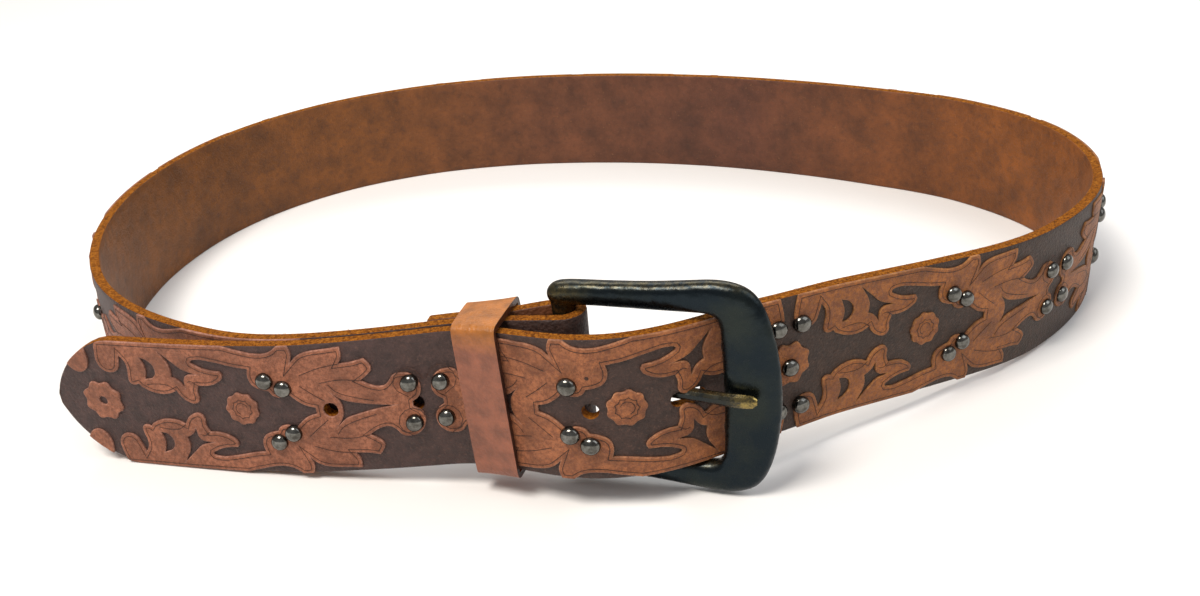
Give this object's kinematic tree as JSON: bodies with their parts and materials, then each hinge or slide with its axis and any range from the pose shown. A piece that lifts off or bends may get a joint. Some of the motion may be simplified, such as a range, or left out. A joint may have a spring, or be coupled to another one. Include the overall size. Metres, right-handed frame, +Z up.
{
  "type": "western tooled belt",
  "caption": "Fastened leather belt with raised floral tooling, domed studs, a keeper loop and a cast buckle with one prong.",
  "frame": {"origin": "on the floor under the middle of the belt's box, with the belt standing on its lower edge", "axes": "+Z up the strap's width, -Y towards the buckle at the front, +X to the viewer's right, away from the pointed tip"},
  "size_m": [0.319, 0.2588, 0.0575],
  "materials": {
    "tooled_leather": "tooled and stained, waxed",
    "keeper_leather": "smooth with burnished edges",
    "buckle_brass": "cast, blue-black patina",
    "prong_brass": "dark patina, worn tip",
    "stud_metal": "gunmetal plated"
  },
  "bodies": {
    "root": {"belt_strap": "tooled_leather", "keeper_loop": "keeper_leather", "buckle_frame": "buckle_brass", "buckle_prong": "prong_brass", "dome_stud_01": "stud_metal", "dome_stud_02": "stud_metal", "dome_stud_03": "stud_metal", "dome_stud_04": "stud_metal", "dome_stud_05": "stud_metal", "dome_stud_06": "stud_metal", "dome_stud_07": "stud_metal", "dome_stud_08": "stud_metal", "dome_stud_09": "stud_metal", "dome_stud_10": "stud_metal", "dome_stud_11": "stud_metal", "dome_stud_12": "stud_metal", "dome_stud_13": "stud_metal", "dome_stud_14": "stud_metal", "dome_stud_15": "stud_metal", "dome_stud_16": "stud_metal", "dome_stud_17": "stud_metal", "dome_stud_18": "stud_metal", "dome_stud_19": "stud_metal", "dome_stud_20": "stud_metal", "dome_stud_21": "stud_metal", "dome_stud_22": "stud_metal", "dome_stud_23": "stud_metal", "dome_stud_24": "stud_metal", "dome_stud_25": "stud_metal", "dome_stud_26": "stud_metal", "dome_stud_27": "stud_metal", "dome_stud_28": "stud_metal", "dome_stud_29": "stud_metal", "dome_stud_30": "stud_metal", "dome_stud_31": "stud_metal", "dome_stud_32": "stud_metal", "dome_stud_33": "stud_metal", "dome_stud_34": "stud_metal", "dome_stud_35": "stud_metal", "dome_stud_36": "stud_metal", "dome_stud_37": "stud_metal"}
  },
  "joints": []
}
